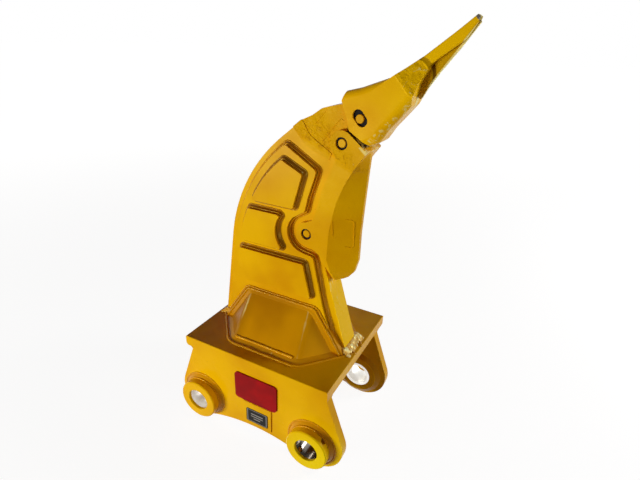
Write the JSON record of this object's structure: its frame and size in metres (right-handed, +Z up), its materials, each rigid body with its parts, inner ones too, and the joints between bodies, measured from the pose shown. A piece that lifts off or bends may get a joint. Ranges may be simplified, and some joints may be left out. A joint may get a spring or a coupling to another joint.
{
  "type": "excavator ripper shank with tooth",
  "caption": "Curved single-shank ripper standing on its two bored mounting ears, with a pinned shank protector and a pinned steel tooth at the top",
  "frame": {"origin": "on the axis of the front pair of pin bores, on the middle plane of the shank", "axes": "+Y along the pin bores to the far side, +X to the front where the tooth points, +Z up"},
  "size_m": [0.8038, 0.51, 1.3386],
  "materials": {
    "badge_red": "gloss red",
    "bush_steel": "machined",
    "frame_paint": "satin yellow paint",
    "label_black": "matt black",
    "lock_rubber": "matt black",
    "pin_paint": "satin yellow paint",
    "tooth_paint": "yellow paint over a rough casting",
    "weld_paint": "yellow paint over a rough weld bead"
  },
  "bodies": {
    "root": {"adapter_nose": "frame_paint", "adapter_weld": "weld_paint", "badge_plate": "badge_red", "base_plate": "frame_paint", "far_boot": "frame_paint", "far_boot_weld": "weld_paint", "far_collar_welds": "weld_paint", "far_doubler": "frame_paint", "far_doubler_bead": "weld_paint", "far_ear": "frame_paint", "far_ear_weld": "weld_paint", "far_foot_weld": "weld_paint", "far_front_bush": "bush_steel", "far_front_collar": "frame_paint", "far_front_inner_ring": "frame_paint", "far_lower_panel": "frame_paint", "far_middle_panel": "frame_paint", "far_panel_beads": "weld_paint", "far_rear_bush": "bush_steel", "far_rear_collar": "frame_paint", "far_rear_inner_ring": "frame_paint", "far_ring_welds": "weld_paint", "far_tooth_lock": "lock_rubber", "far_upper_panel": "frame_paint", "front_foot_weld": "weld_paint", "label_mount": "frame_paint", "label_plate": "label_black", "near_boot": "frame_paint", "near_boot_weld": "weld_paint", "near_collar_welds": "weld_paint", "near_doubler": "frame_paint", "near_doubler_bead": "weld_paint", "near_ear": "frame_paint", "near_ear_weld": "weld_paint", "near_foot_weld": "weld_paint", "near_front_bush": "bush_steel", "near_front_collar": "frame_paint", "near_front_inner_ring": "frame_paint", "near_lower_panel": "frame_paint", "near_middle_panel": "frame_paint", "near_panel_beads": "weld_paint", "near_rear_bush": "bush_steel", "near_rear_collar": "frame_paint", "near_rear_inner_ring": "frame_paint", "near_ring_welds": "weld_paint", "near_tooth_lock": "lock_rubber", "near_upper_panel": "frame_paint", "pin_retainers": "lock_rubber", "protector_lower_pin": "pin_paint", "protector_upper_pin": "pin_paint", "rear_foot_weld": "weld_paint", "shank": "frame_paint", "shank_protector": "tooth_paint", "tooth": "tooth_paint", "tooth_pin": "pin_paint"}
  },
  "joints": []
}
